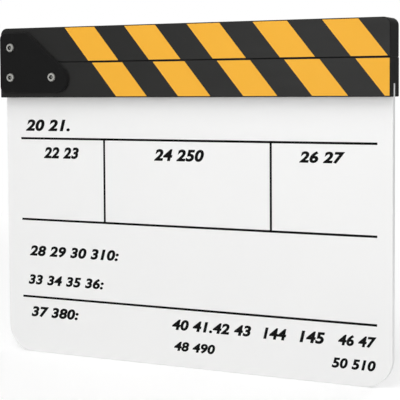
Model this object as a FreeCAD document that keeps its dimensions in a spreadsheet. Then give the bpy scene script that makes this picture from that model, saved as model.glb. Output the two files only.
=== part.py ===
import FreeCAD, Part
import math
import os

import Sketcher

# Clapperboard: a white slate held in a grooved clapstick, with a second clapstick hinged on top of it.
# X runs along the sticks, the front faces -Y, Z is up. The origin is the middle of the slate's bottom edge.

# Driving sizes, in millimetres and degrees.
SIZES = {
    # Slate sheet, a little shorter than the sticks.
    "slate_height": 197.8,
    "slate_end_inset": 0.3,
    "slate_thickness": 4.0,
    "slate_corner_radius": 20.0,
    "slate_edge_break": 0.3,
    # Clapsticks.
    "stick_length": 300.0,
    "stick_height": 25.4,
    "stick_thickness": 18.0,
    "stick_edge_radius": 0.75,
    "lower_end_radius": 0.5,
    "stick_corner_radius": 5.0,
    "groove_depth": 8.6,
    "groove_clearance": 0.1,
    # Hinge: the pivot lies as far in from the sticks' end as it lies above the joint between the sticks.
    "pivot_inset": 11.0,
    "fixing_above_slate": 6.0,
    "fixing_spacing": 35.9,
    "swing_clearance": 0.3,
    "heel_rise": 1.0,
    "side_clearance": 0.2,
    # Hinge plates.
    "plate_thickness": 2.5,
    "plate_inset": 3.2,
    "plate_end_inset": 1.0,
    "plate_top_width": 23.5,
    "plate_slope_angle": 40.0,
    "plate_lobe_radius": 10.0,
    "plate_shoulder_radius": 3.0,
    "plate_end_radius": 5.0,
    "plate_edge_bevel": 0.8,
    # Sleeve that the upper stick turns on.
    "sleeve_wall": 1.1,
    "running_clearance": 0.05,
    # M4 screws with a low head, rounded at its rim, and a shallow hexagon socket.
    "screw_diameter": 4.0,
    "screw_overrun": 1.2,
    "screw_tip_chamfer": 0.5,
    "head_diameter": 6.6,
    "head_height": 1.4,
    "head_flat_diameter": 5.6,
    "socket_size": 3.0,
    "socket_depth": 0.9,
    "hole_clearance": 0.15,
    # Washers and nuts.
    "washer_diameter": 9.0,
    "washer_thickness": 0.8,
    "nut_size": 7.0,
    "nut_height": 3.2,
    "nut_chamfer_angle": 30.0,
    "thread_clearance": 0.03,
    # Collar of the lock nut, with the nylon insert in it that grips the screw.
    "collar_height": 1.8,
    "collar_diameter": 6.2,
    "collar_wall": 0.5,
    "collar_edge_bevel": 0.3,
    "insert_height": 1.3,
    "insert_recess": 0.2,
    # Yellow film stripes, measured along the stick at half its height.
    "stripe_width": 24.7,
    "stripe_end_margin": 11.5,
    "stripe_lean_angle": 39.4,
    "stripe_film": 0.15,
    "upper_stripe_start": 66.4,
    "lower_stripe_start": 89.2,
}

# Stripes on each stick.
STRIPE_COUNT = 5

# How near an edge has to be to a stated place to count as lying there.
NEAR = 0.01

# Places that several pieces share.
RIGHT_END = "size.stick_length / 2"
LEFT_END = "-size.stick_length / 2"
LOWER_BOTTOM = "(size.slate_height - size.groove_depth)"
JOINT_LINE = f"({LOWER_BOTTOM} + size.stick_height)"
UPPER_TOP = f"({JOINT_LINE} + size.stick_height)"
STICK_FACE = "size.stick_thickness / 2"
PLATE_FACE = f"({STICK_FACE} + size.plate_thickness)"
PIVOT_X = f"({LEFT_END} + size.pivot_inset)"
PIVOT_Z = f"({JOINT_LINE} + size.pivot_inset)"
FAR_FIXING_X = f"({PIVOT_X} + size.fixing_spacing)"
FIXING_Z = "(size.slate_height + size.fixing_above_slate)"
SCREW_HOLE = "(size.screw_diameter + 2 * size.hole_clearance)"
SLEEVE_DIAMETER = f"({SCREW_HOLE} + 2 * size.sleeve_wall)"
THREAD_BORE = "(size.screw_diameter + 2 * size.thread_clearance)"
INSERT_SEAT = "(size.collar_diameter - 2 * size.collar_wall)"
NUT_FACE = f"({PLATE_FACE} + size.washer_thickness)"
COLLAR_END = "(size.nut_height + size.collar_height)"
STRIPE_RUN = "size.stick_length - size.upper_stripe_start - size.stripe_width - size.stripe_end_margin"
STRIPE_PITCH = f"(({STRIPE_RUN}) / {STRIPE_COUNT - 1})"

doc = FreeCAD.newDocument("clapperboard")
sheet = doc.addObject("Spreadsheet::Sheet", "size")
for row, (alias, number) in enumerate(SIZES.items(), 1):
    sheet.set(f"A{row}", alias)
    sheet.set(f"B{row}", str(number))
    sheet.setAlias(f"B{row}", alias)
doc.recompute()


def value(expression):
    """Number that an expression of the sheet gives now."""
    return float(sheet.evalExpression(expression))


def new_body(label):
    """Empty body whose label names its piece."""
    body = doc.addObject("PartDesign::Body", label)
    body.Label = label
    return body


def new_sketch(body, role, offset="0"):
    """Sketch on one of the body's own planes, moved along the plane's normal."""
    sketch = body.newObject("Sketcher::SketchObject", f"{body.Label}_sketch")
    plane = next(feature for feature in body.Origin.OriginFeatures if feature.Role == role)
    sketch.AttachmentSupport = [(plane, "")]
    sketch.MapMode = "FlatFace"
    sketch.setExpression("AttachmentOffset.Base.z", offset)
    doc.recompute()
    return sketch


def pin_point(sketch, geometry, point, x, y):
    """Binds a point of a sketch to two expressions."""
    for kind, distance in (("DistanceX", x), ("DistanceY", y)):
        limit = Sketcher.Constraint(kind, -1, 1, geometry, point, value(distance))
        number = sketch.addConstraint(limit)
        sketch.setExpression(f"Constraints[{number}]", distance)


def dome_arc(start, end):
    """Arc from one point on to another, about a centre on the Y axis."""
    squares = start.x ** 2 + start.y ** 2 - end.x ** 2 - end.y ** 2
    centre = FreeCAD.Vector(0, squares / (2 * (start.y - end.y)), 0)
    circle = Part.Circle(centre, FreeCAD.Vector(0, 0, 1), start.distanceToPoint(centre))
    turns = [math.atan2(point.y - centre.y, point.x) for point in (start, end)]
    return Part.ArcOfCircle(circle, *turns)


def add_outline(sketch, corners, domed=None):
    """Closed outline through corners that are pairs of expressions, with one domed side at most."""
    places = [FreeCAD.Vector(value(x), value(y), 0) for x, y in corners]
    first = sketch.GeometryCount
    count = len(corners)
    for index, start in enumerate(places):
        end = places[(index + 1) % count]
        sketch.addGeometry(dome_arc(start, end) if index == domed else Part.LineSegment(start, end))
    for index, (x, y) in enumerate(corners):
        after = (index + 1) % count
        sketch.addConstraint(Sketcher.Constraint("Coincident", first + index, 2, first + after, 1))
        pin_point(sketch, first + index, 1, x, y)
    if domed is not None:
        sketch.addConstraint(Sketcher.Constraint("PointOnObject", first + domed, 3, -2))


def add_circle(sketch, diameter, x="0", y="0"):
    """Circle whose centre and diameter are expressions."""
    centre = FreeCAD.Vector(value(x), value(y), 0)
    circle = sketch.addGeometry(Part.Circle(centre, FreeCAD.Vector(0, 0, 1), value(diameter) / 2))
    pin_point(sketch, circle, 3, x, y)
    number = sketch.addConstraint(Sketcher.Constraint("Diameter", circle, value(diameter)))
    sketch.setExpression(f"Constraints[{number}]", diameter)


def add_hexagon(sketch, across_flats):
    """Hexagon about the sketch's origin, two corners on its X axis."""
    reach = f"{across_flats} / sqrt(3)"
    turns = [f"{60 * corner} deg" for corner in range(6)]
    add_outline(sketch, [(f"{reach} * cos({turn})", f"{reach} * sin({turn})") for turn in turns])


def add_feature(body, kind, **settings):
    """Feature at the end of a body, with its plain settings."""
    feature = body.newObject(f"PartDesign::{kind}", f"{body.Label}_{kind.lower()}")
    for name, setting in settings.items():
        setattr(feature, name, setting)
    return feature


def pad(body, sketch, length, **settings):
    """Pad of a sketch by a length that is an expression."""
    feature = add_feature(body, "Pad", Profile=sketch, **settings)
    feature.setExpression("Length", length)
    doc.recompute()
    return feature


def cut(body, sketch, depth=None, **settings):
    """Pocket of a sketch to a depth, or right through both ways, that has to take material away."""
    before = body.Shape.Volume
    feature = add_feature(body, "Pocket", Profile=sketch, **settings)
    if depth is None:
        feature.Type = "ThroughAll"
        feature.SideType = "Symmetric"
    else:
        feature.setExpression("Length", depth)
    doc.recompute()
    if not body.Shape.Volume < before:
        raise ValueError(f"a pocket of {body.Label} cuts nothing")
    return feature


def edges_at(shape, **coordinates):
    """Names of the edges that lie wholly at the given coordinates, each an expression."""
    found = []
    wanted = {axis: value(expression) for axis, expression in coordinates.items()}
    for number, edge in enumerate(shape.Edges, 1):
        box = edge.BoundBox
        spans = {"x": (box.XMin, box.XMax), "y": (box.YMin, box.YMax), "z": (box.ZMin, box.ZMax)}
        if all(abs(end - wanted[axis]) < NEAR for axis in wanted for end in spans[axis]):
            found.append(f"Edge{number}")
    return found


def dress_edges(body, kind, size, places):
    """Fillet or chamfer of the edges at the given places."""
    base = body.Tip
    names = []
    for coordinates in places:
        names += edges_at(base.Shape, **coordinates)
    feature = add_feature(body, kind, Base=(base, names))
    feature.setExpression("Radius" if kind == "Fillet" else "Size", size)
    doc.recompute()
    return feature


def pair_body(body, sketch):
    """Second copy of the whole body at the far fixing, along its sketch's X axis."""
    feature = add_feature(body, "LinearPattern", Direction=(sketch, ["H_Axis"]), Mode="Spacing")
    feature.TransformMode = "Whole shape"
    feature.Occurrences = 2
    feature.setExpression("Offset", "size.fixing_spacing")
    body.Tip = feature
    doc.recompute()


def seat(piece, x="0", y="0", z="0"):
    """Moves a piece to its place, given as expressions."""
    for axis, expression in (("x", x), ("y", y), ("z", z)):
        piece.setExpression(f".Placement.Base.{axis}", expression)
    doc.recompute()
    return piece


def slate_board():
    """Acrylic sheet with two rounded bottom corners; its square top edge seats in the stick's groove."""
    body = new_body("slate_board")
    sketch = new_sketch(body, "XZ_Plane")
    left = f"({LEFT_END} + size.slate_end_inset)"
    right = f"({RIGHT_END} - size.slate_end_inset)"
    top = "size.slate_height"
    add_outline(sketch, [(left, "0"), (right, "0"), (right, top), (left, top)])
    pad(body, sketch, "size.slate_thickness", SideType="Symmetric")
    corners = [{"x": left, "z": "0"}, {"x": right, "z": "0"}]
    dress_edges(body, "Fillet", "size.slate_corner_radius", corners)
    faces = [{"y": "-size.slate_thickness / 2"}, {"y": "size.slate_thickness / 2"}]
    dress_edges(body, "Chamfer", "size.slate_edge_break", faces)
    return body


def lower_stick():
    """Fixed stick: a bar with a groove along its underside and two holes for the fixings."""
    body = new_body("lower_stick")
    section = new_sketch(body, "YZ_Plane")
    groove = "(size.slate_thickness / 2 + size.groove_clearance)"
    floor = f"({LOWER_BOTTOM} + size.groove_depth)"
    back = f"({STICK_FACE})"
    front = f"(-{STICK_FACE})"
    outline = [(front, LOWER_BOTTOM), (f"-{groove}", LOWER_BOTTOM), (f"-{groove}", floor)]
    outline += [(groove, floor), (groove, LOWER_BOTTOM), (back, LOWER_BOTTOM)]
    outline += [(back, JOINT_LINE), (front, JOINT_LINE)]
    add_outline(section, outline)
    pad(body, section, "size.stick_length", SideType="Symmetric")
    long_edges = []
    end_edges = []
    for face in (front, back):
        long_edges += [{"y": face, "z": LOWER_BOTTOM}, {"y": face, "z": JOINT_LINE}]
        end_edges += [{"x": LEFT_END, "y": face}, {"x": RIGHT_END, "y": face}]
    dress_edges(body, "Fillet", "size.stick_edge_radius", long_edges)
    dress_edges(body, "Fillet", "size.lower_end_radius", end_edges)
    holes = new_sketch(body, "XZ_Plane")
    add_circle(holes, SCREW_HOLE, PIVOT_X, FIXING_Z)
    add_circle(holes, SCREW_HOLE, FAR_FIXING_X, FIXING_Z)
    cut(body, holes)
    return body


def upper_stick():
    """Swinging stick: its heel is rounded so that it rolls clear of the lower stick about the pivot."""
    body = new_body("upper_stick")
    outline = new_sketch(body, "XZ_Plane")
    hinge_end = f"({LEFT_END} + size.swing_clearance)"
    thickness = "(size.stick_thickness - 2 * size.side_clearance)"
    bottom = [(hinge_end, JOINT_LINE), (RIGHT_END, JOINT_LINE)]
    add_outline(outline, bottom + [(RIGHT_END, UPPER_TOP), (hinge_end, UPPER_TOP)])
    pad(body, outline, thickness, SideType="Symmetric")
    heel = [{"x": hinge_end, "z": JOINT_LINE}]
    dress_edges(body, "Fillet", "size.pivot_inset + size.heel_rise", heel)
    corners = [{"x": hinge_end, "z": UPPER_TOP}, {"x": RIGHT_END, "z": UPPER_TOP}]
    dress_edges(body, "Fillet", "size.stick_corner_radius", corners)
    edges = [{"y": f"{thickness} / 2"}, {"y": f"-{thickness} / 2"}]
    edges += [{"x": RIGHT_END, "z": JOINT_LINE}]
    dress_edges(body, "Fillet", "size.stick_edge_radius", edges)
    bore = new_sketch(body, "XZ_Plane")
    add_circle(bore, f"{SLEEVE_DIAMETER} + 2 * size.running_clearance", PIVOT_X, PIVOT_Z)
    cut(body, bore)
    return body


def stripes(name, bottom, start, face):
    """Leaning film stripes on the flat of a stick's front face, the last cut off at the stick's right end."""
    low = f"({bottom} + size.stick_edge_radius)"
    high = f"({bottom} + size.stick_height - size.stick_edge_radius)"
    lean = "(size.stick_height / 2 - size.stick_edge_radius) * tan(size.stripe_lean_angle * 1 deg)"
    flat = doc.addObject("Part::Box", f"{name}_flat")
    flat.setExpression("Length", "size.stick_length - 2 * size.lower_end_radius")
    flat.setExpression("Width", "size.stripe_film")
    flat.setExpression("Height", "size.stick_height - 2 * size.stick_edge_radius")
    seat(flat, f"{LEFT_END} + size.lower_end_radius", f"-({face}) - size.stripe_film", low)
    row = []
    for index in range(STRIPE_COUNT):
        label = f"{name}_{index + 1}"
        film = new_body(f"{label}_film")
        sketch = new_sketch(film, "XZ_Plane", face)
        left = f"({LEFT_END} + {start} + {index} * {STRIPE_PITCH})"
        right = f"({left} + size.stripe_width)"
        corners = [(f"{left} + {lean}", low), (f"{right} + {lean}", low)]
        corners += [(f"{right} - {lean}", high), (f"{left} - {lean}", high)]
        add_outline(sketch, corners)
        pad(film, sketch, "size.stripe_film")
        trimmed = doc.addObject("Part::MultiCommon", label)
        trimmed.Label = label
        trimmed.Shapes = [film, flat]
        row.append(trimmed)
    doc.recompute()
    return row


def hinge_plate():
    """Front plate: its slanted edge and its bottom edge both run into a lobe round the far fixing."""
    body = new_body("hinge_plate_front")
    outline = new_sketch(body, "XZ_Plane", STICK_FACE)
    left = f"({LEFT_END} + size.plate_end_inset)"
    low = f"({LOWER_BOTTOM} + size.plate_inset)"
    high = f"({UPPER_TOP} - size.plate_inset)"
    shoulder = f"({left} + size.plate_top_width)"
    tip = f"({shoulder} + ({high} - {low}) / tan(size.plate_slope_angle * 1 deg))"
    add_outline(outline, [(left, low), (tip, low), (shoulder, high), (left, high)])
    pad(body, outline, "size.plate_thickness")
    dress_edges(body, "Fillet", "size.plate_lobe_radius", [{"x": tip, "z": low}])
    dress_edges(body, "Fillet", "size.plate_shoulder_radius", [{"x": shoulder, "z": high}])
    dress_edges(body, "Fillet", "size.plate_end_radius", [{"x": left, "z": low}, {"x": left, "z": high}])
    dress_edges(body, "Chamfer", "size.plate_edge_bevel", [{"y": f"-{PLATE_FACE}"}])
    holes = new_sketch(body, "XZ_Plane")
    add_circle(holes, SCREW_HOLE, PIVOT_X, PIVOT_Z)
    add_circle(holes, SCREW_HOLE, PIVOT_X, FIXING_Z)
    add_circle(holes, SCREW_HOLE, FAR_FIXING_X, FIXING_Z)
    cut(body, holes)
    return body


def mirrored_plate(front):
    """Rear plate: the front plate mirrored through the slate's middle plane."""
    plate = doc.addObject("Part::Mirroring", "hinge_plate_rear")
    plate.Label = "hinge_plate_rear"
    plate.Source = front
    plate.Normal = FreeCAD.Vector(0, 1, 0)
    doc.recompute()
    return plate


def tube(label, outer, inner, length, **settings):
    """Round tube about Y, from the origin to the back unless its settings say otherwise."""
    body = new_body(label)
    section = new_sketch(body, "XZ_Plane")
    add_circle(section, outer)
    add_circle(section, inner)
    pad(body, section, length, **(settings or {"Reversed": True}))
    return body, section


def pivot_sleeve():
    """Sleeve between the two plates, clamped by the pivot screw, which the upper stick turns on."""
    length = "size.stick_thickness"
    sleeve, _ = tube("pivot_sleeve", SLEEVE_DIAMETER, SCREW_HOLE, length, SideType="Symmetric")
    return seat(sleeve, PIVOT_X, "0", PIVOT_Z)


def screw(label, paired, z):
    """Screw with a low head and a shallow hexagon socket, its head on the front plate."""
    body = new_body(label)
    profile = new_sketch(body, "XY_Plane")
    shank = "size.screw_diameter / 2"
    head = "size.head_diameter / 2"
    end = f"({PLATE_FACE} + {NUT_FACE} + {COLLAR_END} + size.screw_overrun)"
    crown = "-size.head_height"
    outline = [("0", crown), ("size.head_flat_diameter / 2", crown), (head, "0")]
    outline += [(shank, "0"), (shank, f"{end} - size.screw_tip_chamfer")]
    outline += [(f"{shank} - size.screw_tip_chamfer", end), ("0", end)]
    add_outline(profile, outline, domed=1)
    add_feature(body, "Revolution", Profile=profile, ReferenceAxis=(profile, ["V_Axis"]))
    doc.recompute()
    socket = new_sketch(body, "XZ_Plane", "size.head_height")
    add_hexagon(socket, "size.socket_size")
    cut(body, socket, "size.socket_depth")
    if paired:
        pair_body(body, socket)
    return seat(body, PIVOT_X, f"-{PLATE_FACE}", z)


def washer(label, paired, z):
    """Flat washer behind the rear plate."""
    body, section = tube(label, "size.washer_diameter", SCREW_HOLE, "size.washer_thickness")
    if paired:
        pair_body(body, section)
    return seat(body, PIVOT_X, PLATE_FACE, z)


def nut(label, paired, z, collared):
    """Hexagon nut with chamfered corners behind a washer; a lock nut has a round collar as well."""
    body = new_body(label)
    hexagon = new_sketch(body, "XZ_Plane")
    add_hexagon(hexagon, "size.nut_size")
    pad(body, hexagon, "size.nut_height", Reversed=True)
    chamfer = new_sketch(body, "XY_Plane")
    flat = "size.nut_size / 2"
    reach = "size.nut_size"
    drop = f"({reach} - {flat}) * tan(size.nut_chamfer_angle * 1 deg)"
    top = "size.nut_height"
    add_outline(chamfer, [(flat, top), (reach, top), (reach, f"{top} - {drop}")])
    add_feature(body, "Groove", Profile=chamfer, ReferenceAxis=(chamfer, ["V_Axis"]))
    doc.recompute()
    if collared:
        collar = new_sketch(body, "XZ_Plane", f"-{top}")
        add_circle(collar, "size.collar_diameter")
        pad(body, collar, "size.collar_height", Reversed=True)
        dress_edges(body, "Chamfer", "size.collar_edge_bevel", [{"y": COLLAR_END}])
        insert_seat = new_sketch(body, "XZ_Plane", f"-{COLLAR_END}")
        add_circle(insert_seat, INSERT_SEAT)
        cut(body, insert_seat, "size.insert_height + size.insert_recess", Reversed=True)
    bore = new_sketch(body, "XZ_Plane")
    add_circle(bore, THREAD_BORE)
    cut(body, bore)
    if paired:
        pair_body(body, bore)
    return seat(body, PIVOT_X, NUT_FACE, z)


def lock_insert():
    """Nylon ring in the lock nut's collar, a little below its rim."""
    outer = f"{INSERT_SEAT} - 2 * size.thread_clearance"
    ring, _ = tube("pivot_nut_insert", outer, THREAD_BORE, "size.insert_height")
    start = f"{NUT_FACE} + {COLLAR_END} - size.insert_recess - size.insert_height"
    return seat(ring, PIVOT_X, start, PIVOT_Z)


def build_pieces():
    """Every piece of the clapperboard."""
    front_plate = hinge_plate()
    upper_face = f"({STICK_FACE} - size.side_clearance)"
    return [
        slate_board(),
        lower_stick(),
        upper_stick(),
        *stripes("lower_stripe", LOWER_BOTTOM, "size.lower_stripe_start", STICK_FACE),
        *stripes("upper_stripe", JOINT_LINE, "size.upper_stripe_start", upper_face),
        front_plate,
        mirrored_plate(front_plate),
        pivot_sleeve(),
        screw("pivot_screw", False, PIVOT_Z),
        washer("pivot_washer", False, PIVOT_Z),
        nut("pivot_nut", False, PIVOT_Z, True),
        lock_insert(),
        screw("fixing_screws", True, FIXING_Z),
        washer("fixing_washers", True, FIXING_Z),
        nut("fixing_nuts", True, FIXING_Z, False),
    ]


def check_document(pieces):
    """Stops before anything is written if a feature failed or a piece has no valid solid."""
    for item in doc.Objects:
        if "Invalid" in item.State or "Error" in item.State:
            raise ValueError(f"{item.Name} failed: {item.State}")
    for piece in pieces:
        if piece.Shape.isNull() or not piece.Shape.isValid() or not piece.Shape.Solids:
            raise ValueError(f"{piece.Label} has no valid solid")


def write_pieces(pieces):
    """One STEP file for each piece, named by its label."""
    os.makedirs("parts", exist_ok=True)
    for piece in pieces:
        piece.Shape.exportStep(f"parts/{piece.Label}.step")
        print(f"{piece.Label}: {len(piece.Shape.Solids)} solids, {piece.Shape.Volume:.1f} mm3")


doc.recompute()
all_pieces = build_pieces()
doc.recompute()
check_document(all_pieces)
write_pieces(all_pieces)
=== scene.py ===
"""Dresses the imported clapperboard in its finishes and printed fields, and sets a studio round it."""

import logging
import math
from collections.abc import Callable
from dataclasses import dataclass, field
from enum import Enum
from typing import Any

import bmesh
import bpy
from mathutils import Matrix, Vector


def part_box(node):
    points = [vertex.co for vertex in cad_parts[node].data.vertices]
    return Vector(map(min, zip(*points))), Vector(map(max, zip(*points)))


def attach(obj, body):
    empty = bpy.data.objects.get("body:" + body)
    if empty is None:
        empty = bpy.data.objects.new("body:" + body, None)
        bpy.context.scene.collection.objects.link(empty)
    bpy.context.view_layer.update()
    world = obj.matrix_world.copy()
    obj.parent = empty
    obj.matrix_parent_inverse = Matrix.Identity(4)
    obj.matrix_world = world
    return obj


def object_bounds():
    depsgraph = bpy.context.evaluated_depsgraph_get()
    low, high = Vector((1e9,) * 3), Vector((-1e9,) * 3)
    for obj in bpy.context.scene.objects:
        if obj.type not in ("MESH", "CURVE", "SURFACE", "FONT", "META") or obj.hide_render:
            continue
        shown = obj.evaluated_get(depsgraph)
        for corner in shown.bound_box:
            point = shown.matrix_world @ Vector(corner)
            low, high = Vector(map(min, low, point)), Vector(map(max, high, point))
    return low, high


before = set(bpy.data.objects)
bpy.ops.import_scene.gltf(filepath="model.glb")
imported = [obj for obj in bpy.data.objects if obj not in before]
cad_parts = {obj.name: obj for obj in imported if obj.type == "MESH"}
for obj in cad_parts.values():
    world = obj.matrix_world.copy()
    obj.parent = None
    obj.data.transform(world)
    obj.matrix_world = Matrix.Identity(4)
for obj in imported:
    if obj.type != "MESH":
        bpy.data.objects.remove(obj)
CAD_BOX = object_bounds()

LOG = logging.getLogger("clapperboard")
MM = 0.001
WHITE = "#FFFFFF"

QUARTER_TURN = math.pi / 2
# A turn is made with as many rows as a move, so that the two can be joined.
MATRIX_ROWS = 4

# The sRGB curve is straight up to its knee and a power above it.
SRGB_KNEE, SRGB_SLOPE, SRGB_OFFSET, SRGB_POWER = 0.04045, 12.92, 0.055, 2.4

# The colour sockets of a Mix node share their names with its number sockets, so they go by place.
MIX_FACTOR, MIX_A, MIX_B, MIX_RESULT = 0, 6, 7, 2

# How many finer layers the noise has in a finish's colour, its roughness and its relief.
DRIFT_DETAIL, SHEEN_DETAIL, GRAIN_DETAIL = 3.0, 4.0, 2.0
# The roughness runs from its least to its most over the range that noise seldom leaves.
NOISE_RANGE = (0.3, 0.7)

# How many rays feel for a corner, and how open it is where its painted shade is full and where it ends.
RECESS_SAMPLES = 16
RECESS_RANGE = (0.5, 1.0)


class Body(Enum):
    """The two rigid bodies that the hinge joins."""

    SLATE = "slate"
    CLAPSTICK = "clapstick"


class Way(Enum):
    """Which way a printed rule runs, as its turn about the slate's normal."""

    ACROSS = 0.0
    UPRIGHT = QUARTER_TURN


def linear(colour: str) -> tuple[float, float, float, float]:
    """Turns an sRGB hex colour to linear light.

    Args:
        colour: six hex digits after a hash sign.

    Returns:
        Red, green, blue and an alpha of 1.
    """
    shares = [int(colour[i : i + 2], 16) / 255 for i in (1, 3, 5)]
    light = [
        s / SRGB_SLOPE if s <= SRGB_KNEE else ((s + SRGB_OFFSET) / (1 + SRGB_OFFSET)) ** SRGB_POWER
        for s in shares
    ]
    return (*light, 1.0)


def repeats(size_mm: float) -> float:
    """Gives a pattern's scale, in repeats to the metre, from its real size in millimetres."""
    return 1 / (size_mm * MM)


def add_node(
    tree: bpy.types.NodeTree,
    kind: str,
    settings: dict[str, Any] | None = None,
    inputs: dict[str | int, Any] | None = None,
) -> bpy.types.Node:
    """Adds a node with its settings, socket values and links.

    Args:
        tree: the node tree that it goes into.
        kind: Blender's name for the node's type.
        settings: the node's properties, by name.
        inputs: a value or another node's output socket for each input, by name or place.

    Returns:
        The new node.
    """
    node = tree.nodes.new(kind)
    for name, value in (settings or {}).items():
        setattr(node, name, value)
    for key, value in (inputs or {}).items():
        if isinstance(value, bpy.types.NodeSocket):
            tree.links.new(value, node.inputs[key])
        else:
            node.inputs[key].default_value = value
    return node


def empty_tree(owner: bpy.types.Material | bpy.types.World) -> bpy.types.NodeTree:
    """Clears a new material or world of the nodes that Blender starts it with.

    Args:
        owner: the material or the world.

    Returns:
        Its empty node tree.
    """
    owner.use_nodes = True
    owner.node_tree.nodes.clear()
    return owner.node_tree


def named_material(
    name: str, shade: Callable[[bpy.types.NodeTree], bpy.types.NodeSocket]
) -> bpy.types.Material:
    """Gives a material, which is built at the first call.

    Args:
        name: the material's name.
        shade: builds its nodes in an empty tree and returns the shader's socket.

    Returns:
        The material.
    """
    made = bpy.data.materials.get(name)
    if made is None:
        made = bpy.data.materials.new(name)
        tree = empty_tree(made)
        add_node(tree, "ShaderNodeOutputMaterial", inputs={"Surface": shade(tree)})
    return made


def patches(
    tree: bpy.types.NodeTree,
    place: bpy.types.NodeSocket,
    size_mm: tuple[float, float, float],
    detail: float,
) -> bpy.types.NodeSocket:
    """Builds a pattern of soft patches that may be drawn out along an axis.

    Args:
        tree: the material's node tree.
        place: Object coordinates, in metres.
        size_mm: how wide a patch is, along X, Y and Z.
        detail: how many finer layers the pattern has.

    Returns:
        The pattern's socket.
    """
    scale = tuple(repeats(size) for size in size_mm)
    drawn = add_node(tree, "ShaderNodeMapping", inputs={"Vector": place, "Scale": scale})
    noise = add_node(
        tree,
        "ShaderNodeTexNoise",
        inputs={"Vector": drawn.outputs[0], "Scale": 1.0, "Detail": detail},
    )
    return noise.outputs[0]


def seen_rays(tree: bpy.types.NodeTree) -> bpy.types.NodeSocket:
    """Gives 1 for rays that show what they hit: the camera's, and those in reflections and glass.

    Args:
        tree: the node tree that asks.

    Returns:
        The number's socket.
    """
    path = add_node(tree, "ShaderNodeLightPath").outputs
    seen = path["Is Camera Ray"]
    for kind in ("Is Glossy Ray", "Is Transmission Ray"):
        either = add_node(tree, "ShaderNodeMath", {"operation": "MAXIMUM"}, {0: seen, 1: path[kind]})
        seen = either.outputs[0]
    return seen


def add_object(name: str, data: bpy.types.ID) -> bpy.types.Object:
    """Adds an object to the scene.

    Args:
        name: the object's name.
        data: its mesh, text, lamp or lens.

    Returns:
        The object.
    """
    made = bpy.data.objects.new(name, data)
    bpy.context.scene.collection.objects.link(made)
    return made


def built_mesh(holder: bpy.types.Object) -> bpy.types.Mesh:
    """Gives a mesh of what an object's text or modifiers build."""
    return bpy.data.meshes.new_from_object(holder.evaluated_get(bpy.context.evaluated_depsgraph_get()))


def square_mesh(name: str, side: float) -> bpy.types.Mesh:
    """Makes a flat square about the origin, which faces up.

    Args:
        name: the mesh's name.
        side: the square's side, in metres.

    Returns:
        The mesh.
    """
    half = side / 2
    corners = [(-half, -half, 0), (half, -half, 0), (half, half, 0), (-half, half, 0)]
    mesh = bpy.data.meshes.new(name)
    mesh.from_pydata(corners, [], [range(len(corners))])
    return mesh


def aim(
    holder: bpy.types.Object, place: tuple[float, float, float], target: Vector, axis: str
) -> None:
    """Puts an object in its place, in metres, and turns one of its axes to the target."""
    holder.location = place
    holder.rotation_euler = (target - Vector(place)).to_track_quat(axis, "Y").to_euler()


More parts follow.
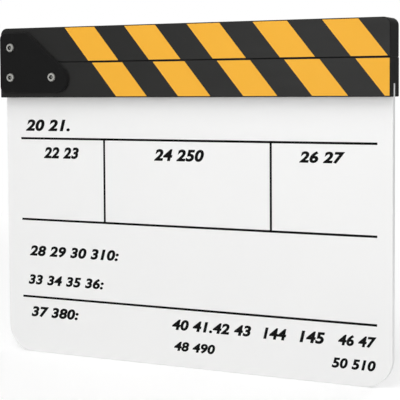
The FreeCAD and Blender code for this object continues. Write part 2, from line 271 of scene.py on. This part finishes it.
@dataclass(frozen=True)
class Finish:
    """A procedural material: a colour and a roughness that drift over the surface, and a fine relief.

    Attributes:
        name: what the real material is.
        colours: the two colours that it drifts between.
        drift_mm: how wide a patch of one colour is.
        roughness: the least and the most.
        sheen_mm: how wide a patch of one roughness is, along X, Y and Z.
        grain_mm: how wide the relief's grains are, along X, Y and Z.
        relief_mm: how deep the relief is.
        index: index of refraction, which a metal leaves at the default.
        specular: strength of the reflection, 0.5 for the index as it is.
        metallic: 1 for a metal.
        recess: the colour of the shade painted in its corners, or None.
        recess_mm: how wide a corner counts, where that painted shade lies.
    """

    name: str
    colours: tuple[str, str]
    drift_mm: float
    roughness: tuple[float, float]
    sheen_mm: tuple[float, float, float]
    grain_mm: tuple[float, float, float]
    relief_mm: float
    index: float = 1.5
    specular: float = 0.5
    metallic: float = 0.0
    recess: str | None = None
    recess_mm: float = 0.0

    def tint(self, tree: bpy.types.NodeTree, colour: bpy.types.NodeSocket) -> bpy.types.NodeSocket:
        """Paints shade into the corners by darkening the drifting colour, where the finish has a colour
        for them.

        Args:
            tree: the material's node tree.
            colour: the drifting colour.

        Returns:
            The colour that goes on the surface.
        """
        if self.recess is None:
            return colour
        # Painted shade: the colour darkens where the occlusion node finds a point closed in.
        openness = add_node(
            tree,
            "ShaderNodeAmbientOcclusion",
            {"samples": RECESS_SAMPLES},
            {"Distance": self.recess_mm * MM},
        )
        shaded, clear = RECESS_RANGE
        bare = add_node(
            tree,
            "ShaderNodeMapRange",
            {"interpolation_type": "SMOOTHSTEP"},
            {"Value": openness.outputs["AO"], "From Min": shaded, "From Max": clear},
        )
        mixed = add_node(
            tree,
            "ShaderNodeMix",
            {"data_type": "RGBA"},
            {MIX_FACTOR: bare.outputs[0], MIX_A: linear(self.recess), MIX_B: colour},
        )
        return mixed.outputs[MIX_RESULT]

    def shade(self, tree: bpy.types.NodeTree) -> bpy.types.NodeSocket:
        """Builds the finish's nodes.

        Args:
            tree: the material's empty node tree.

        Returns:
            The shader's socket.
        """
        place = add_node(tree, "ShaderNodeTexCoord").outputs["Object"]
        drift = add_node(
            tree,
            "ShaderNodeTexNoise",
            inputs={"Vector": place, "Scale": repeats(self.drift_mm), "Detail": DRIFT_DETAIL},
        )
        first, second = map(linear, self.colours)
        colour = add_node(
            tree,
            "ShaderNodeMix",
            {"data_type": "RGBA"},
            {MIX_FACTOR: drift.outputs[0], MIX_A: first, MIX_B: second},
        )
        roughness = add_node(
            tree,
            "ShaderNodeMapRange",
            inputs={
                "Value": patches(tree, place, self.sheen_mm, SHEEN_DETAIL),
                "From Min": NOISE_RANGE[0],
                "From Max": NOISE_RANGE[1],
                "To Min": self.roughness[0],
                "To Max": self.roughness[1],
            },
        )
        relief = add_node(
            tree,
            "ShaderNodeBump",
            inputs={
                "Height": patches(tree, place, self.grain_mm, GRAIN_DETAIL),
                "Distance": self.relief_mm * MM,
                "Strength": 1.0,
            },
        )
        surface = add_node(
            tree,
            "ShaderNodeBsdfPrincipled",
            inputs={
                "Base Color": self.tint(tree, colour.outputs[MIX_RESULT]),
                "Roughness": roughness.outputs[0],
                "Normal": relief.outputs[0],
                "IOR": self.index,
                "Specular IOR Level": self.specular,
                "Metallic": self.metallic,
            },
        )
        return surface.outputs[0]

    def material(self) -> bpy.types.Material:
        """Gives the material, which is built at the first call."""
        return named_material(self.name, self.shade)

    def dress(self, *nodes: str) -> None:
        """Puts the material on CAD nodes.

        Args:
            nodes: the nodes' names.
        """
        for node in nodes:
            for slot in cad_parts[node].material_slots:
                slot.material = self.material()
            LOG.info("%s: %s", node, self.name)


@dataclass(frozen=True, kw_only=True)
class EdgedFinish(Finish):
    """A finish for a flat piece that faces along Y, whose edges get a painted colour of their own, which
    stands in for light and shade there.

    Attributes:
        edge: the edges' colour, painted lighter as light or darker as shade.
        edge_reach: the least and the most that the normal of an edge reaches along Y.
    """

    edge: str
    edge_reach: tuple[float, float] = (0.0, 0.5)

    def tint(self, tree: bpy.types.NodeTree, colour: bpy.types.NodeSocket) -> bpy.types.NodeSocket:
        """Paints the edges' colour, as light and shade, on every face whose normal is that of an edge.

        Args:
            tree: the material's node tree.
            colour: the drifting colour, which the other faces keep.

        Returns:
            The colour that goes on the surface.
        """
        normal = add_node(tree, "ShaderNodeTexCoord").outputs["Normal"]
        parts = add_node(tree, "ShaderNodeSeparateXYZ", inputs={0: normal})
        along = add_node(tree, "ShaderNodeMath", {"operation": "ABSOLUTE"}, {0: parts.outputs["Y"]})
        least, most = self.edge_reach
        beside = add_node(
            tree,
            "ShaderNodeMath",
            {"operation": "COMPARE"},
            {0: along.outputs[0], 1: (least + most) / 2, 2: (most - least) / 2},
        )
        # Painted light and shade: faces turned as edges take the edge colour in place of the drifting
        # one.
        mixed = add_node(
            tree,
            "ShaderNodeMix",
            {"data_type": "RGBA"},
            {MIX_FACTOR: beside.outputs[0], MIX_A: colour, MIX_B: linear(self.edge)},
        )
        return mixed.outputs[MIX_RESULT]


# Cast acrylic is evenly white right through, with a polish that is dulled in long sideways bands
# where the sheet is wiped, so it has a soft sheen and no sharp reflection. Its sawn edges are
# painted a little whiter, as painted light.
ACRYLIC = EdgedFinish(
    name="cast white acrylic sheet",
    colours=("#F2F2F1", "#EFEFEF"),
    drift_mm=70.0,
    roughness=(0.32, 0.44),
    sheen_mm=(160.0, 6.0, 6.0),
    grain_mm=(3.0, 3.0, 3.0),
    relief_mm=0.004,
    index=1.49,
    edge="#F6F7F7",
)
# Satin lacquer over close-grained wood shows the grain only as faint lines along the stick. Shade is
# painted darker on the eased edges, so that the seam between the sticks stands out.
WOOD = EdgedFinish(
    name="black lacquered beech",
    colours=("#1A1A19", "#20201F"),
    drift_mm=25.0,
    roughness=(0.38, 0.46),
    sheen_mm=(60.0, 8.0, 8.0),
    grain_mm=(22.0, 0.6, 0.6),
    relief_mm=0.012,
    specular=0.2,
    edge="#080808",
    edge_reach=(0.05, 0.95),
)
# Cut vinyl film is a flat strong yellow with the faint orange peel of its adhesive under it.
FILM = Finish(
    name="yellow vinyl film",
    colours=("#F0AE33", "#F3B43A"),
    drift_mm=40.0,
    roughness=(0.38, 0.48),
    sheen_mm=(15.0, 15.0, 15.0),
    grain_mm=(1.5, 1.5, 1.5),
    relief_mm=0.006,
    specular=0.15,
)
# A plate moulded in a spark-eroded tool has a fine even grain that spreads the light, so it is
# blacker than the lacquer. Its edges are painted greyer, as painted light, so that its side walls
# do not sink into shade. The grain is drawn at twice its real width, to show.
PLASTIC = EdgedFinish(
    name="moulded black nylon with a spark grain",
    colours=("#161616", "#1A1A1A"),
    drift_mm=12.0,
    roughness=(0.5, 0.62),
    sheen_mm=(6.0, 6.0, 6.0),
    grain_mm=(0.5, 0.5, 0.5),
    relief_mm=0.03,
    specular=0.05,
    edge="#2A2A2A",
)
# Bright zinc plate is a pale grey metal, a little blurred by its fine crystals. Shade is painted dark
# into the screws' sockets, where little light comes back.
STEEL = Finish(
    name="bright zinc-plated steel",
    colours=("#B4B4B0", "#A2A29E"),
    drift_mm=1.5,
    roughness=(0.42, 0.55),
    sheen_mm=(0.8, 0.8, 0.8),
    grain_mm=(0.25, 0.25, 0.25),
    relief_mm=0.004,
    metallic=1.0,
    recess="#0C0C0B",
    recess_mm=3.0,
)
# Natural nylon is a milky off-white, dull where it was turned.
NYLON = Finish(
    name="natural white nylon",
    colours=("#E6E4DA", "#DEDBD0"),
    drift_mm=2.0,
    roughness=(0.42, 0.55),
    sheen_mm=(1.0, 1.0, 1.0),
    grain_mm=(0.3, 0.3, 0.3),
    relief_mm=0.01,
    index=1.53,
)
# Screen ink dries to a dull black coat with the faint mesh of the screen in it.
INK = Finish(
    name="black screen ink",
    colours=("#050505", "#080808"),
    drift_mm=4.0,
    roughness=(0.5, 0.62),
    sheen_mm=(2.0, 2.0, 2.0),
    grain_mm=(0.4, 0.4, 0.4),
    relief_mm=0.008,
    specular=0.08,
)


@dataclass(frozen=True)
class Rule:
    """A printed rule.

    Attributes:
        middle_mm: its middle, from the slate's left edge and bottom edge.
        length_mm: its length.
        way: which way it runs.
    """

    middle_mm: tuple[float, float]
    length_mm: float
    way: Way


@dataclass(frozen=True)
class Label:
    """A group of plain numbers printed in one field.

    Attributes:
        text: the numbers.
        left_mm: where they start, from the slate's left edge.
        base_mm: the line that they stand on, from the slate's bottom edge.
        width_mm: how far they run.
        height_mm: how tall a digit is.
    """

    text: str
    left_mm: float
    base_mm: float
    width_mm: float
    height_mm: float


@dataclass
class Slate:
    """The white board with its printed rules and numbers.

    The rules bound the fields, so their places follow from the fields' heights and widths. Sizes
    are in millimetres, and what is taken from the frame is in metres.

    Attributes:
        rule_width: how wide a rule is.
        rule_margins: how far the rules across stay from the slate's left and right edges.
        field_tops: the rules on top of the lower, middle and upper rows, from the bottom edge.
        column_ends: the upright rules, from the left edge.
        ink_thickness: how far the ink stands out of the face.
        ink_bite: how far it reaches into the face, so that no gap shows under it.
        ink_weld: how near each other two points of the ink are one point.
        slant: how far the digits lean, as a share of their height.
        weight: what is added round the digits' outlines, as a share of the type's size.
        spacing: how far apart the digits are set, next to 1 for the typeface's own spacing.
        labels: the numbers.
        left: the slate's left edge.
        bottom: its bottom edge.
        width: its width.
        ink_level: the middle of the ink, along Y.
        ink_depth: the whole depth of the ink.
    """

    rule_width: float = 1.6
    rule_margins: tuple[float, float] = (12.6, 10.5)
    field_tops: tuple[float, float, float] = (41.2, 98.9, 159.0)
    column_ends: tuple[float, float] = (84.2, 214.2)
    ink_thickness: float = 0.03
    ink_bite: float = 0.01
    ink_weld: float = 0.001
    slant: float = 0.21
    weight: float = 0.045
    spacing: float = 1.06
    labels: tuple[Label, ...] = (
        Label("20 21.", 16.8, 164.4, 38.5, 8.6),
        Label("22 23", 32.4, 144.4, 30.4, 8.4),
        Label("24 250", 124.9, 144.5, 39.3, 8.4),
        Label("26 27", 234.7, 145.5, 32.3, 8.0),
        Label("28 29 30 310:", 18.8, 71.6, 76.8, 8.0),
        Label("33 34 35 36:", 17.5, 50.4, 65.3, 7.6),
        Label("37 380:", 19.8, 26.2, 41.4, 7.9),
        Label("40 41.42 43", 138.3, 26.0, 61.1, 7.6),
        Label("144", 208.3, 25.7, 17.0, 7.9),
        Label("145", 234.7, 25.6, 18.2, 8.1),
        Label("46 47", 262.0, 26.0, 26.6, 7.6),
        Label("48 490", 139.8, 11.2, 32.2, 6.9),
        Label("50 510", 257.5, 10.8, 30.5, 7.0),
    )
    left: float = field(init=False)
    bottom: float = field(init=False)
    width: float = field(init=False)
    ink_level: float = field(init=False)
    ink_depth: float = field(init=False)

    def __post_init__(self) -> None:
        """Takes the printed face's place from the frame."""
        low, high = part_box("slate_board")
        self.left, self.bottom, self.width = low.x, low.z, high.x - low.x
        self.ink_level = low.y - (self.ink_thickness - self.ink_bite) * MM / 2
        self.ink_depth = (self.ink_thickness + self.ink_bite) * MM

    def ink_place(self, across_mm: float, up_mm: float) -> tuple[float, float, float]:
        """Gives a place in the ink, in metres, from its way across and up the slate."""
        return (self.left + across_mm * MM, self.ink_level, self.bottom + up_mm * MM)

    def rules(self) -> list[Rule]:
        """Works out the rules round the fields.

        Returns:
            A rule on top of each row, and one at each column's end.
        """
        start, stop = self.rule_margins[0], self.width / MM - self.rule_margins[1]
        low, high = self.field_tops[1:]
        return [
            *(Rule(((start + stop) / 2, top), stop - start, Way.ACROSS) for top in self.field_tops),
            *(Rule((end, (low + high) / 2), high - low, Way.UPRIGHT) for end in self.column_ends),
        ]

    def rule_tree(self) -> bpy.types.NodeTree:
        """Builds the nodes that print a bar of ink at each point.

        Returns:
            A node tree whose inputs are the points, the bar's width and thickness, and the ink.
        """
        tree = bpy.data.node_groups.new("printed_rules", "GeometryNodeTree")
        for name, kind in (
            ("Points", "NodeSocketGeometry"),
            ("Width", "NodeSocketFloat"),
            ("Thickness", "NodeSocketFloat"),
            ("Ink", "NodeSocketMaterial"),
        ):
            tree.interface.new_socket(name, in_out="INPUT", socket_type=kind)
        tree.interface.new_socket("Bars", in_out="OUTPUT", socket_type="NodeSocketGeometry")
        given = add_node(tree, "NodeGroupInput").outputs
        length = add_node(tree, "GeometryNodeInputNamedAttribute", inputs={"Name": "length"})
        turn = add_node(tree, "GeometryNodeInputNamedAttribute", inputs={"Name": "turn"})
        size = add_node(
            tree,
            "ShaderNodeCombineXYZ",
            inputs={"X": length.outputs[0], "Y": given["Thickness"], "Z": given["Width"]},
        )
        tilt = add_node(tree, "ShaderNodeCombineXYZ", inputs={"Y": turn.outputs[0]})
        bar = add_node(tree, "GeometryNodeMeshCube", inputs={"Size": (1.0, 1.0, 1.0)})
        bars = add_node(
            tree,
            "GeometryNodeInstanceOnPoints",
            inputs={
                "Points": given["Points"],
                "Instance": bar.outputs["Mesh"],
                "Rotation": tilt.outputs[0],
                "Scale": size.outputs[0],
            },
        )
        real = add_node(tree, "GeometryNodeRealizeInstances", inputs={"Geometry": bars.outputs[0]})
        inked = add_node(
            tree,
            "GeometryNodeSetMaterial",
            inputs={"Geometry": real.outputs[0], "Material": given["Ink"]},
        )
        add_node(tree, "NodeGroupOutput", inputs={"Bars": inked.outputs[0]})
        return tree

    def print_rules(self) -> None:
        """Prints the rules as thin bars of ink on the slate's face."""
        rules = self.rules()
        points = bpy.data.meshes.new("rule_points")
        points.from_pydata([self.ink_place(*rule.middle_mm) for rule in rules], [], [])
        for name, values in (
            ("length", [rule.length_mm * MM for rule in rules]),
            ("turn", [rule.way.value for rule in rules]),
        ):
            points.attributes.new(name, "FLOAT", "POINT").data.foreach_set("value", values)
        holder = add_object("rule_points", points)
        modifier = holder.modifiers.new("printed_rules", "NODES")
        tree = self.rule_tree()
        sockets = {s.name: s.identifier for s in tree.interface.items_tree if s.in_out == "INPUT"}
        modifier.node_group = tree
        modifier[sockets["Width"]] = self.rule_width * MM
        modifier[sockets["Thickness"]] = self.ink_depth
        modifier[sockets["Ink"]] = INK.material()
        bars = built_mesh(holder)
        bpy.data.objects.remove(holder)
        self.add_piece("field_rules", bars)

    def typeset(self, label: Label) -> bpy.types.Mesh:
        """Sets one label in slanted bold digits, as flat solids of ink in their place on the face.

        The digits are drawn as wide as the label's width makes them.

        Args:
            label: the numbers and their place.

        Returns:
            The label's mesh.
        """
        text = bpy.data.curves.new("label", "FONT")
        text.body, text.shear, text.space_character = label.text, self.slant, self.spacing
        text.bevel_depth, text.bevel_resolution, text.extrude = self.weight, 0, self.weight
        holder = add_object("label", text)
        bpy.context.view_layer.update()
        mesh = built_mesh(holder)
        low, size = Vector(holder.bound_box[0]), holder.dimensions.copy()
        bpy.data.objects.remove(holder)
        wide, tall = label.width_mm * MM / size.x, label.height_mm * MM / size.y
        LOG.info("%s: %.2f times as wide as drawn", label.text, wide / tall)
        for move in (
            Matrix.Translation((-low.x, -low.y, 0.0)),
            Matrix.Diagonal((wide, tall, self.ink_depth / size.z, 1.0)),
            Matrix.Rotation(QUARTER_TURN, MATRIX_ROWS, "X"),
            Matrix.Translation(self.ink_place(label.left_mm, label.base_mm)),
        ):
            mesh.transform(move)
        return mesh

    def print_numbers(self) -> None:
        """Prints the numbers in the fields, as one piece."""
        whole = bmesh.new()
        for label in self.labels:
            mesh = self.typeset(label)
            whole.from_mesh(mesh)
            bpy.data.meshes.remove(mesh)
        bmesh.ops.remove_doubles(whole, verts=whole.verts, dist=self.ink_weld * MM)
        numbers = bpy.data.meshes.new("field_numbers")
        whole.to_mesh(numbers)
        whole.free()
        numbers.materials.append(INK.material())
        self.add_piece("field_numbers", numbers)

    def add_piece(self, name: str, mesh: bpy.types.Mesh) -> None:
        """Makes a mesh a piece that rides with the slate.

        Args:
            name: the piece's name.
            mesh: its mesh, in the frame's place.
        """
        piece = add_object(name, mesh)
        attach(piece, Body.SLATE.value)
        LOG.info("%s: %d faces", name, len(mesh.polygons))

    def dress(self) -> None:
        """Puts the acrylic on the board."""
        ACRYLIC.dress("slate_board")


@dataclass
class Clapsticks:
    """The two striped sticks."""

    stripe_count: int = 5

    def dress(self) -> None:
        """Lacquers the sticks and puts the yellow film on their stripes."""
        for level in ("lower", "upper"):
            WOOD.dress(f"{level}_stick")
            FILM.dress(*(f"{level}_stripe_{place + 1}" for place in range(self.stripe_count)))


@dataclass
class Hinge:
    """The plates, the screws that hold them and the axle."""

    plates: tuple[str, ...] = ("hinge_plate_front", "hinge_plate_rear")
    steel: tuple[str, ...] = (
        "pivot_sleeve",
        "pivot_screw",
        "pivot_washer",
        "pivot_nut",
        "fixing_screws",
        "fixing_washers",
        "fixing_nuts",
    )
    insert: str = "pivot_nut_insert"

    def dress(self) -> None:
        """Puts the plastic, the steel and the nylon on the hinge's pieces."""
        PLASTIC.dress(*self.plates)
        STEEL.dress(*self.steel)
        NYLON.dress(self.insert)


@dataclass(frozen=True)
class Softbox:
    """A square area lamp that points at the object's middle.

    Attributes:
        name: what it does.
        place: where it hangs, in metres.
        side: its side, in metres.
        power: its power, in watts.
    """

    name: str
    place: tuple[float, float, float]
    side: float
    power: float

    def hang(self, target: Vector) -> None:
        """Adds the lamp.

        Args:
            target: the point that it shines at.
        """
        lamp = bpy.data.lights.new(self.name, "AREA")
        lamp.size, lamp.energy = self.side, self.power
        aim(add_object(self.name, lamp), self.place, target, "-Z")


@dataclass(frozen=True)
class Flag:
    """A black card that keeps the white surround out of the reflections on one side of the object.

    Attributes:
        name: what it keeps dark.
        place: its middle, in metres.
        side: its side, in metres.
        colour: the felt on it.
    """

    name: str
    place: tuple[float, float, float]
    side: float
    colour: str = "#080808"

    def felt(self, tree: bpy.types.NodeTree) -> bpy.types.NodeSocket:
        """Builds the felt, which is dull and even, so its black has no sheen."""
        return add_node(tree, "ShaderNodeBsdfDiffuse", inputs={"Color": linear(self.colour)}).outputs[0]

    def stand(self, target: Vector) -> None:
        """Adds the card, which only reflections show.

        Args:
            target: the point that it faces.
        """
        card = add_object(self.name, square_mesh(self.name, self.side))
        card.data.materials.append(named_material("black felt", self.felt))
        aim(card, self.place, target, "Z")
        card.visible_camera = card.visible_diffuse = card.visible_shadow = False


@dataclass
class Studio:
    """The floor, the white surround, the lamps, the flags and the camera.

    Attributes:
        floor_side: the floor's side, in metres.
        floor_colour: the paper on the floor.
        floor_lift: what the camera sees added to the paper, so that it is white outside the shadow.
        sweep: how far from the slate the paper starts and ends turning into the surround, in metres.
        fill: brightness of the surround as a light, next to 1 for white.
        lamps: the soft lamps.
        flags: the black cards.
        camera_place: where the camera stands, in metres.
        camera_yaw: its turn to the left, in degrees.
        camera_pitch: its tilt down, in degrees.
        camera_roll: its turn about its own axis, in degrees.
        near_clip: how near to the lens the camera starts to see, in metres.
        image_side: the picture's width and height, in pixels.
        focal_length: the lens's focal length, in pixels.
        axis_row: the picture row that the lens points at.
    """

    floor_side: float = 40.0
    floor_colour: str = "#E4E4E4"
    floor_lift: float = 0.3
    sweep: tuple[float, float] = (0.5, 1.1)
    fill: float = 0.5
    lamps: tuple[Softbox, ...] = (
        Softbox("key softbox", (-0.2, -1.3, 0.2), 0.9, 5.2),
        Softbox("fill softbox", (1.3, -1.2, 0.8), 1.0, 2.5),
        Softbox("top softbox", (0.05, -0.95, 1.4), 1.0, 8.2),
        Softbox("rear softbox", (0.4, 1.7, 1.0), 1.2, 12.0),
    )
    flags: tuple[Flag, ...] = (
        Flag("flag for the sticks' free ends", (0.30, 0.55, 0.27), 0.7),
        Flag("flag for the hinge end", (-1.0, -0.9, 0.3), 0.8),
    )
    camera_place: tuple[float, float, float] = (0.39614, -0.76511, 0.19569)
    camera_yaw: float = 26.752
    camera_pitch: float = 2.875
    camera_roll: float = -0.325
    near_clip: float = 0.01
    image_side: int = 400
    focal_length: float = 1241.65
    axis_row: float = 150.0

    def paper(self, tree: bpy.types.NodeTree) -> bpy.types.NodeSocket:
        """Builds the floor's paper, which is pale and matt and takes a soft shadow.

        Args:
            tree: the material's empty node tree.

        Returns:
            The shader's socket.
        """
        seen = seen_rays(tree)
        matt = add_node(tree, "ShaderNodeBsdfDiffuse", inputs={"Color": linear(self.floor_colour)})
        lift = add_node(tree, "ShaderNodeMath", {"operation": "MULTIPLY"}, {0: seen, 1: self.floor_lift})
        glow = add_node(tree, "ShaderNodeEmission", inputs={"Strength": lift.outputs[0]})
        near = add_node(tree, "ShaderNodeAddShader", inputs={0: matt.outputs[0], 1: glow.outputs[0]})
        place = add_node(tree, "ShaderNodeTexCoord").outputs["Object"]
        reach = add_node(tree, "ShaderNodeVectorMath", {"operation": "LENGTH"}, {0: place})
        start, end = self.sweep
        turned = add_node(
            tree,
            "ShaderNodeMapRange",
            {"interpolation_type": "SMOOTHSTEP"},
            {"Value": reach.outputs["Value"], "From Min": start, "From Max": end},
        )
        shown = add_node(
            tree, "ShaderNodeMath", {"operation": "MULTIPLY"}, {0: turned.outputs[0], 1: seen}
        )
        far = add_node(tree, "ShaderNodeEmission", inputs={"Strength": 1.0})
        whole = add_node(
            tree,
            "ShaderNodeMixShader",
            inputs={0: shown.outputs[0], 1: near.outputs[0], 2: far.outputs[0]},
        )
        return whole.outputs[0]

    def lay_floor(self) -> None:
        """Lays a plain pale floor under the slate."""
        floor = add_object("floor", square_mesh("floor", self.floor_side))
        floor.data.materials.append(named_material("pale studio paper", self.paper))

    def light(self) -> None:
        """Sets the surround, white to the eye and dimmer as a light, with the lamps and the flags."""
        world = bpy.data.worlds.new("white surround")
        bpy.context.scene.world = world
        tree = empty_tree(world)
        strength = add_node(
            tree,
            "ShaderNodeMapRange",
            inputs={"Value": seen_rays(tree), "To Min": self.fill, "To Max": 1.0},
        )
        white = add_node(
            tree,
            "ShaderNodeBackground",
            inputs={"Color": linear(WHITE), "Strength": strength.outputs[0]},
        )
        add_node(tree, "ShaderNodeOutputWorld", inputs={"Surface": white.outputs[0]})
        middle = (CAD_BOX[0] + CAD_BOX[1]) / 2
        for lamp in self.lamps:
            lamp.hang(middle)
        for flag in self.flags:
            flag.stand(middle)

    def set_camera(self) -> None:
        """Stands the camera where the picture was taken from."""
        lens = bpy.data.cameras.new("camera")
        lens.lens = lens.sensor_width * self.focal_length / self.image_side
        lens.shift_y = (self.axis_row - self.image_side / 2) / self.image_side
        lens.clip_start, lens.clip_end = self.near_clip, self.floor_side
        camera = add_object("camera", lens)
        yaw, pitch, roll = map(math.radians, (self.camera_yaw, self.camera_pitch, self.camera_roll))
        camera.matrix_world = (
            Matrix.Translation(self.camera_place)
            @ Matrix.Rotation(yaw, MATRIX_ROWS, "Z")
            @ Matrix.Rotation(QUARTER_TURN - pitch, MATRIX_ROWS, "X")
            @ Matrix.Rotation(roll, MATRIX_ROWS, "Z")
        )
        bpy.context.scene.camera = camera
        bpy.context.scene.view_settings.view_transform = "Standard"


def main() -> None:
    """Builds and dresses the sub-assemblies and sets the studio."""
    logging.basicConfig(level=logging.INFO, format="%(name)s: %(message)s")
    slate = Slate()
    slate.dress()
    slate.print_rules()
    slate.print_numbers()
    Clapsticks().dress()
    Hinge().dress()
    studio = Studio()
    studio.lay_floor()
    studio.light()
    studio.set_camera()


if __name__ == "__main__":
    main()
